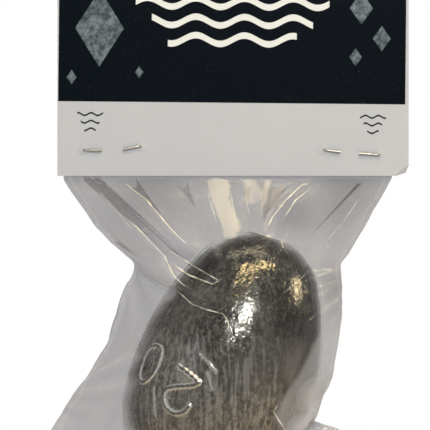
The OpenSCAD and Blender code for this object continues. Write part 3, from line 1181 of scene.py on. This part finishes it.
# The tube's flat points, hung points and faces, and each point's place on the film
def filmGrid():
    columns, rows, mouth = film["columns"], film["rows"], film["mouthRows"]
    left, right = sideLine(leftSide, rows), sideLine(rightSide, rows)
    depths = depthLine(left[-1, 1])
    around, last, steep = 2 * columns, mouth + rows - 1, film["openSteep"]
    flat, hung, place = [], [], []
    for j in range(last + 1):
        inMouth = j < mouth
        if inMouth:
            z = film["mouthTop"] + (cardLow.z - film["mouthTop"]) * j / mouth
            width = film["flatWidth"]
        else:
            t = (j - mouth) / (rows - 1)
            z = cardLow.z - film["length"] * t
            a, b = left[j - mouth], right[j - mouth]
            depth = np.interp((a[1] + b[1]) / 2, depths[:, 0], depths[:, 1])
            swell = depth / depths[:, 1].max()
            width = (2 * math.hypot((b[0] - a[0]) / 2, depth) * (1 + film["stretch"] * swell)
                     + film["slack"] * swell)
        opened = 0 if inMouth or j == last else min(1, (j - mouth) / film["openRows"])
        for k in range(around):
            u = k / columns if k <= columns else 2 - k / columns
            side = 0 if k in (0, columns) else (-1 if k < columns else 1)
            parted = opened * min(1, steep * u, steep - steep * u)
            gap = side * (film["mouthGap"] + film["bodyGap"] * parted) if j < last else 0.0
            flat.append((film["middle"] + width * (u - 0.5), gap, z))
            if inMouth:
                hung.append(flat[-1])
            else:
                hung.append((a[0] + (b[0] - a[0]) * u, gap, a[1] + (b[1] - a[1]) * u))
            place.append((film["flatWidth"] * (u if side <= 0 else 2 - u), z))
    faces = []
    for j in range(last):
        for k in range(around):
            n = (k + 1) % around
            faces.append((j * around + k, (j + 1) * around + k, (j + 1) * around + n,
                          j * around + n))
    return np.array(flat), np.array(hung), np.array(place), faces


# A lighter copy of the casting that pushes the film out as it grows to its depth
def sinkerCollider():
    scale = simulation["scale"]
    mesh = frame["nodes"]["sinker"].data.copy()
    mesh.transform(Matrix.Scale(scale, 4))
    collider = linkNew("sinkerCollider", mesh)
    startEdit(collider)
    bpy.ops.mesh.remove_doubles(threshold=casting["merge"] * scale)
    bpy.ops.object.mode_set(mode='OBJECT')
    collider.modifiers.new("thin", 'DECIMATE').ratio = simulation["leadFaces"]
    applyAll(collider)
    collider.modifiers.new("collision", 'COLLISION')
    collider.collision.thickness_outer = film["skin"] * scale
    setAll(collider.collision, simulation["leadContact"])
    for step, depth in ((1, simulation["startDepth"]), (simulation["grow"], 1)):
        collider.scale = (1, depth, 1)
        collider.keyframe_insert("scale", frame=step)
    return collider


# Runs the cloth: the flat tube takes its silhouette as the sinker fills it
def hangFilm():
    scale = simulation["scale"]
    flat, hung, place, faces = filmGrid()
    mesh = bpy.data.meshes.new("filmBag")
    mesh.from_pydata((flat * scale).tolist(), [], faces)
    obj = linkNew("filmBag", mesh)
    makeActive(obj)
    row, column = np.divmod(np.arange(len(flat)), 2 * film["columns"])
    last = film["mouthRows"] + film["rows"] - 1
    edge = (column == 0) | (column == film["columns"]) | (row == last)
    held = obj.vertex_groups.new(name="held")
    held.add(np.where((row <= film["mouthRows"]) | edge)[0].tolist(), 1.0, 'REPLACE')
    obj.shape_key_add(name="flat")
    key = obj.shape_key_add(name="hung")
    key.data.foreach_set("co", (hung * scale).astype(np.float32).ravel())
    for step, share in ((1, 0), (simulation["grow"], 1)):
        key.value = share
        key.keyframe_insert("value", frame=step)
    collider = sinkerCollider()
    cloth = obj.modifiers.new("film", 'CLOTH')
    setAll(cloth.settings, simulation["cloth"])
    setAll(cloth.collision_settings, simulation["clothContact"])
    cloth.settings.vertex_group_mass = "held"
    cloth.settings.effector_weights.gravity = simulation["gravity"]
    scene = bpy.context.scene
    scene.frame_start = cloth.point_cache.frame_start = 1
    scene.frame_end = cloth.point_cache.frame_end = simulation["frames"]
    for step in range(1, simulation["frames"] + 1):
        scene.frame_set(step)
    shown = obj.evaluated_get(bpy.context.evaluated_depsgraph_get()).to_mesh()
    simulated = readPoints(shown) / scale
    bpy.data.objects.remove(collider)
    scene.frame_set(1)
    bpy.data.objects.remove(obj)
    print("stage: film hung in", simulation["frames"], "frames")
    return simulated, place, faces


# Keeps the film off the lead, and says how far off it each point is
def settleFilm(points):
    mesh = frame["nodes"]["sinker"].data
    tree = BVHTree.FromPolygons([v.co for v in mesh.vertices], [p.vertices for p in mesh.polygons])
    away = np.zeros(len(points))
    for i, point in enumerate(points):
        spot, normal, face, distance = tree.find_nearest(Vector(point))
        outside = (Vector(point) - spot).dot(normal) > 0
        gap = distance if outside else -distance
        away[i] = max(gap, film["skin"])
        if gap < film["skin"]:
            points[i] = spot + normal * film["skin"]
    return points, away


# Draws one sheet taut above the sinker, in flat panels between the folds
def pitchFilm(points, sheet):
    spots = points[sheet]
    tops, ends, lifts = zip(*folds)
    tops, ends, lifts = pixelLine(tops), pixelLine(ends), np.array(lifts) * mm
    depths = []
    for x, z in ends:
        near = np.argsort(np.hypot(spots[:, 0] - x, spots[:, 2] - z))[:film["foldPoints"]]
        depths.append(np.abs(spots[near, 1]).mean())
    depths[0] = depths[-1] = 0.0
    depths = np.array(depths)
    for i, (x, y, z) in enumerate(spots):
        if z > tops[0, 1]:
            continue
        share = (tops[:, 1] - z) / (tops[:, 1] - ends[:, 1])
        across = tops[:, 0] + (ends[:, 0] - tops[:, 0]) * share
        bulge = 4 * lifts * np.clip(share * (1 - share), 0, 1)
        pitched = np.interp(x, across, depths * share + bulge)
        low = np.interp(x, across, ends[:, 1])
        taut = smoothStep(z, low - film["tautRun"], low + film["tautRun"])
        spots[i, 1] = y + (pitched * math.copysign(1, y) - y) * taut
    points[sheet] = spots


def filmPiece():
    points, place, faces = hangFilm()
    columns, mouth, flatWidth = film["columns"], film["mouthRows"], film["flatWidth"]
    around = 2 * columns
    row, column = np.divmod(np.arange(len(points)), around)
    belowCard = row > mouth
    aboveEnd = row < mouth + film["rows"] - 1
    front = (column > 0) & (column < columns)
    back = column > columns
    pitchFilm(points, front & belowCard)
    pitchFilm(points, back & belowCard)
    gap = film["leastGap"]
    points[front & aboveEnd, 1] = np.minimum(points[front & aboveEnd, 1], -gap)
    points[back & aboveEnd, 1] = np.maximum(points[back & aboveEnd, 1], gap)
    points = settleFilm(points)[0]
    mesh = bpy.data.meshes.new("filmBag")
    mesh.from_pydata(points.tolist(), [], faces)
    across = place[:, 0] % flatWidth
    up = place[:, 1] - place[:, 1].min()
    addFloat(mesh, "weld", np.minimum(np.minimum(across, flatWidth - across), up) / mm)
    addFloat(mesh, "front", front & belowCard)
    layer = mesh.uv_layers.new(name="film")
    corners = np.array(faces)
    flatPlace = place[corners]
    lastColumn = np.where(corners[:, 0] % around == around - 1)[0]
    flatPlace[lastColumn, 2:, 0] = 2 * flatWidth
    flatPlace *= film["patternScale"]
    layer.data.foreach_set("uv", flatPlace.astype(np.float32).ravel())
    obj = linkNew("filmBag", mesh)
    startEdit(obj)
    closeMesh(film["merge"])
    smooth = obj.modifiers.new("finer", 'SUBSURF')
    smooth.levels = smooth.render_levels = 1
    applyAll(obj)
    pressCreases(obj)
    makeActive(obj)
    bpy.ops.object.shade_smooth()
    return obj


# How sharply each point is creased, and its signed distance to the nearest crease
def creaseField(spread):
    strength, nearest = np.zeros(len(spread)), np.full(len(spread), 1.0)
    for sharp, pixels in creases:
        line = pixelLine(pixels)
        away = distanceToLine(spread, line, True)
        nearest = np.where(np.abs(away) < np.abs(nearest), away, nearest)
        toEnd = np.minimum(np.linalg.norm(spread - line[0], axis=1),
                           np.linalg.norm(spread - line[-1], axis=1))
        least = film["creaseEnd"]
        fade = least + (1 - least) * smoothStep(toEnd, 0, film["creaseRunOut"])
        pressed = np.exp(-(away / film["creaseWidth"]) ** 2)
        strength = np.maximum(strength, sharp * fade * pressed)
    return strength, nearest


haze = {
    "liftFrom": 0.85 * mm,  # film this close to the lead is clear
    "liftFront": 2.6 * mm,  # and this far off it, on the front sheet, milky
    "liftBack": 7.0 * mm,
    "besideFrom": -0.3 * mm,  # film past the casting's own outline is never clear
    "besideTo": 0.7 * mm,
    "clearRun": 3 * mm,  # a clear patch's soft edge
    "clearLift": (5 * mm, 3 * mm),  # it reaches only film that is this close to the lead
    "lobeEdge": 4,  # a lobe's soft edge, in pixels
}
# Patches where the film stands off the lead and looks milky, and then those where it lies on
# the lead and looks clear, as pixels: middle, reach and strength
veils = [((140, 338), 34, 0.55), ((318, 398), 46, 1.7), ((306, 428), 40, 1.9),
         ((330, 330), 12, 0.6)]
clears = [((192, 264), 34, 0.85), ((250, 270), 40, 0.8), ((240, 330), 50, 0.6)]
# Lobes of film that stand off the lead's edges: half-width, strength and the pixels down them
lobes = [(13, 0.85, [(146, 268), (158, 281), (165, 289)]),
         (9, 0.65, [(160, 286), (147, 314), (138, 335)]),
         (8, 0.75, [(325, 266), (326, 300), (326, 335)]),
         (10, 0.20, [(224, 250), (246, 243), (272, 252)]), (12, 0.14, [(196, 262), (206, 282)]),
         (13, 0.72, [(329, 338), (309, 376), (292, 400), (286, 412), (300, 436)])]
# Strips of flat film with a painted reflection of a window: half-width and the pixels down them
paintedGlints = [(11, [(216, 178), (221, 203), (230, 228)]), (9, [(250, 176), (254, 196)]),
          (4, [(268, 178), (262, 206)]), (2.5, [(300, 184), (280, 206)])]
paintedGlintFar = 5.0  # millimetres, where no reflection is painted


# 0 where the film is clear over the lead, 1 where it is milky and more where it is folded
def milkyField(points, spread, lift, onFront):
    fullLift = haze["liftFront"] + (haze["liftBack"] - haze["liftFront"]) * (1 - onFront)
    milky = smoothStep(lift, haze["liftFrom"], fullLift)
    for middle, reach, strength in veils:
        milky = np.maximum(milky, strength * onFront * patchOver(spread, middle, reach))
    for middle, reach, strength in clears:
        inwards = pixelLength(reach) - distanceToPixel(spread, middle)
        over = smoothStep(inwards, 0, haze["clearRun"]) * smoothStep(lift, *haze["clearLift"])
        milky *= 1 - strength * over * onFront
    for halfWide, strength, pixels in lobes:
        away = distanceToLine(spread, pixelLine(pixels))
        edge = haze["lobeEdge"]
        over = 1 - smoothStep(away, pixelLength(halfWide - edge), pixelLength(halfWide + edge))
        milky = np.maximum(milky, strength * onFront * over)
    local = sinkerLocal(points)
    heights, radii = castingOutline()
    beside = np.maximum(np.abs(local[:, 0]) - np.interp(local[:, 2], heights, radii),
                        np.maximum(local[:, 2] - heights[-1], heights[0] - local[:, 2]))
    return np.maximum(milky, smoothStep(beside, haze["besideFrom"], haze["besideTo"]))


# How far outside the nearest strip of painted reflection each point is, in millimetres
def paintedGlintField(spread, onFront):
    nearest = np.full(len(spread), paintedGlintFar)
    for halfWide, pixels in paintedGlints:
        away = distanceToLine(spread, pixelLine(pixels)) - pixelLength(halfWide)
        nearest = np.minimum(nearest, away / mm)
    return nearest + paintedGlintFar * (1 - onFront)


# Pleats that run from the sinker's shoulder to the card: waves round a middle, each with its
# turns, phase and share
pleats = {
    "middle": (243, 296),
    "from": 13 * mm,
    "fade": 5 * mm,
    "cardFade": 2.5 * mm,
    "weldFade": (0.5, 5),  # millimetres from the edge
    "lowFade": (74 * mm, 86 * mm),  # down from the hang hole
    "rise": 0.02 * mm,
    "waves": [(8.0, 1.3, 1.0), (15.0, 0.4, 0.6), (27.0, 2.1, 0.35), (44.0, 4.0, 0.16)],
}


# The pleats' rise, which runs out on the sinker, at the card and at the welds
def pleatField(spread, down, weld):
    spot = spread - np.array(atPixel(*pleats["middle"]))
    angle = np.arctan2(spot[:, 0], spot[:, 1])
    reach = np.linalg.norm(spot, axis=1)
    start, cardEdge = pleats["from"], -cardLow.z
    over = (smoothStep(reach, start, start + pleats["fade"])
            * smoothStep(down, cardEdge, cardEdge + pleats["cardFade"])
            * (1 - smoothStep(down, *pleats["lowFade"]))
            * smoothStep(weld, *pleats["weldFade"]))
    wave = sum(share * np.sin(turns * angle + phase) for turns, phase, share in pleats["waves"])
    return over * wave * pleats["rise"]


shading = {
    "underCard": 0.16,
    "underCardFrom": 0.6 * mm,
    "underCardTo": 3.5 * mm,
    "upper": 0.26,  # over the front sheet's upper part
    "upperFrom": 52 * mm,  # down from the hang hole
    "upperTo": 76 * mm,
    "most": 0.9,
    # Patches of the front sheet that lie in shade, as pixels: middle, reach and strength
    "patches": [((345, 186), 50, 0.40), ((150, 186), 56, 0.30), ((295, 215), 32, 0.36),
                ((330, 222), 34, 0.20), ((338, 312), 30, 0.30), ((326, 388), 26, 0.20),
                ((175, 215), 30, 0.06), ((335, 284), 28, 0.45), ((222, 205), 24, -0.10),
                ((252, 192), 22, -0.06)],
}


def shadeField(spread, down, onFront):
    cardEdge = -cardLow.z
    shade = shading["underCard"] * (1 - smoothStep(down, cardEdge + shading["underCardFrom"],
                                                   cardEdge + shading["underCardTo"]))
    for middle, reach, strength in shading["patches"]:
        shade += strength * onFront * patchOver(spread, middle, reach)
    upper = 1 - smoothStep(down, shading["upperFrom"], shading["upperTo"])
    shade += shading["upper"] * onFront * upper
    return np.clip(shade, 0, shading["most"])


# Raises the creases and pleats, and notes where the film is milky, where a reflection is painted
# and where it is in shade
def pressCreases(obj):
    mesh = obj.data
    points, lift = settleFilm(readPoints(mesh))
    writePoints(mesh, points)
    normals = readNormals(mesh)
    onFront, weld = readFloat(mesh, "front"), readFloat(mesh, "weld")
    spread, down = points[:, [0, 2]], -points[:, 2]
    crease, creaseAway = creaseField(spread)
    crease *= onFront * smoothStep(down, film["creaseFrom"] - cardLow.z,
                                   film["creaseTo"] - cardLow.z)
    for name, values in (("crease", crease), ("creaseAway", creaseAway / mm),
                         ("milky", milkyField(points, spread, lift, onFront)),
                         ("paintedGlintAway", paintedGlintField(spread, onFront)),
                         ("shade", shadeField(spread, down, onFront))):
        addFloat(mesh, name, values)
    rise = pleatField(spread, down, weld) + crease * film["creaseRise"]
    points += normals * rise[:, None]
    points[:, 1] += cardBow(points[:, 0], points[:, 2])
    writePoints(mesh, points)


filmLook = {
    "grey": ((0.282, 0.287, 0.334, 1), (0.358, 0.364, 0.420, 1)),
    "strip": (0.40, 0.405, 0.425, 1),
    "clear": (0.045, 0.044, 0.042, 1),
    "shade": (0.02, 0.02, 0.022, 1),
    "scuff": (0.62, 0.61, 0.58, 1),
    "weld": (0.55, 0.55, 0.56, 1),
    # The colour of the painted reflection
    "paintedGlint": (0.66, 0.61, 0.52, 1),
    # The colour of the painted highlight along the creases
    "crease": (0.74, 0.72, 0.64, 1),
    # Each noise's scale, detail, roughness and distortion
    "cloudNoise": (3.0, 4.0, 0.6),
    "stripNoise": (14.0, 2.0, 0.5, 0.3),
    "stripLong": 0.16,
    "brokenNoise": (30.0, 3.0, 0.6),
    "raggedNoise": (14.0, 3.0, 0.6, 0.6),
    "ragged": 3.6,  # how far the edge of a strip of painted reflection wanders, in millimetres
    "scuffScale": 11.0,
    "scuffWidth": 0.012,
    "scuffShare": 0.16,
    "weldFrom": 1.9,  # millimetres from the edge to the welded line
    # From where to where something comes in, and its shares there if not 0 and 1
    "stripIn": (0.50, 0.70, 0.0, 0.30),
    "brokenIn": (0.40, 0.62),
    "edgeOnIn": (0.45, 0.80),
    "weldIn": (0.1, 0.45, 0.16, 0.0),
    "paintedGlintIn": (0.9, 1.9, 1.0, 0.0),
    "paintedGlintStripIn": (0.35, 0.62, 0.30, 0.80),
    "creaseHighlightLine": (0.06, 0.24, 1.0, 0.0),  # millimetres from its middle
    "creaseHighlightIn": (0.15, 0.70),
    "ridgeLine": (0.0, 0.45, 1.0, 0.0),  # millimetres from its middle
    "ridgeIn": (0.1, 0.9),
    "cover": (0.0, 1.0, 0.15, 0.60),  # how solid clear and milky film are
    "foldCover": (1.0, 1.7, 0.0, 0.35),  # how much more folded film is
    "creaseHighlightCover": 0.55,
    "edgeOnHaze": 0.9,
    "unbroken": (0.5, 1.0),  # a crease's share where it is broken up and where it isn't
    "roughness": 0.12,
    "ior": 1.5,
    "sheen": 0.36,
    "shadedSheen": -0.7,  # what full shade adds to it
    # Bump heights in millimetres
    "cloudHeight": 0.5,
    "stripHeight": 0.14,
    "scuffHeight": 0.02,
    "creaseHeight": 0.12,
}


def filmMaterial():
    material, sheet, shader = newMaterial("clearFilm")
    milky, shade = sheet.attribute("milky"), sheet.attribute("shade")
    crease, weld = sheet.attribute("crease"), sheet.attribute("weld")
    creaseAway = sheet.math('ABSOLUTE', sheet.attribute("creaseAway"))
    uv = sheet.add('ShaderNodeUVMap', {"uv_map": "film"}).outputs[0]
    cloud = sheet.noise(uv, *filmLook["cloudNoise"])
    strips = sheet.noise(sheet.mapping(uv, Scale=(1.0, filmLook["stripLong"], 1.0)),
                         *filmLook["stripNoise"])
    broken = sheet.ramp(sheet.noise(uv, *filmLook["brokenNoise"]), *filmLook["brokenIn"])
    scuffs = sheet.group(crinkle, Vector=uv, Scale=filmLook["scuffScale"],
                         Width=filmLook["scuffWidth"])["Ridge"]
    grey = sheet.mix(cloud, *filmLook["grey"])
    grey = sheet.mix(sheet.ramp(strips, *filmLook["stripIn"]), grey, filmLook["strip"])
    # Film seen edge-on shows its haze even where it lies close
    facing = sheet.add('ShaderNodeLayerWeight', None, {"Blend": 0.5}).outputs["Facing"]
    edgeOn = sheet.ramp(facing, *filmLook["edgeOnIn"])
    milky = sheet.math('MAXIMUM', milky, sheet.times(edgeOn, filmLook["edgeOnHaze"]))
    tone = sheet.mix(milky, filmLook["clear"], grey)
    tone = sheet.mix(shade, tone, filmLook["shade"])
    scuffed = sheet.times(scuffs, sheet.times(broken, filmLook["scuffShare"]))
    tone = sheet.mix(scuffed, tone, filmLook["scuff"])
    fromWeld = sheet.apart(weld, filmLook["weldFrom"])
    tone = sheet.mix(sheet.ramp(fromWeld, *filmLook["weldIn"]), tone, filmLook["weld"])
    # A painted reflection of a window in strips of the film, with ragged edges
    ragged = sheet.timesPlus(sheet.noise(uv, *filmLook["raggedNoise"]), filmLook["ragged"],
                             sheet.attribute("paintedGlintAway"))
    paintedGlint = sheet.times(sheet.ramp(ragged, *filmLook["paintedGlintIn"]),
                        sheet.ramp(strips, *filmLook["paintedGlintStripIn"]))
    tone = sheet.mix(paintedGlint, tone, filmLook["paintedGlint"])
    # Painted highlight: a thin cream line along each crease, made more solid there
    line = sheet.times(sheet.ramp(creaseAway, *filmLook["creaseHighlightLine"]),
                       sheet.ramp(crease, *filmLook["creaseHighlightIn"]))
    pressed = sheet.times(line, sheet.between(broken, *filmLook["unbroken"]))
    sheet.put(sheet.mix(pressed, tone, filmLook["crease"]), shader.inputs["Base Color"])
    cover = sheet.math('ADD', sheet.ramp(milky, *filmLook["cover"]),
                       sheet.ramp(milky, *filmLook["foldCover"]))
    sheet.put(sheet.timesPlus(pressed, filmLook["creaseHighlightCover"], cover, clamp=True),
              shader.inputs["Alpha"])
    shader.inputs["Roughness"].default_value = filmLook["roughness"]
    shader.inputs["IOR"].default_value = filmLook["ior"]
    sheet.put(sheet.timesPlus(shade, filmLook["shadedSheen"], filmLook["sheen"], clamp=True),
              shader.inputs["Specular IOR Level"])
    height = sheet.times(cloud, filmLook["cloudHeight"])
    height = sheet.timesPlus(scuffs, filmLook["scuffHeight"], height)
    height = sheet.timesPlus(strips, filmLook["stripHeight"], height)
    ridge = sheet.times(sheet.ramp(creaseAway, *filmLook["ridgeLine"]),
                        sheet.ramp(crease, *filmLook["ridgeIn"]))
    sheet.bump(shader, sheet.timesPlus(ridge, filmLook["creaseHeight"], height))
    return material


filmBag = filmPiece()
setMaterial(filmBag, filmMaterial())
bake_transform(filmBag)
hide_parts("bag_mouth", "bag_front_film", "bag_back_film")
print("stage: film bag", len(filmBag.data.polygons), "faces")
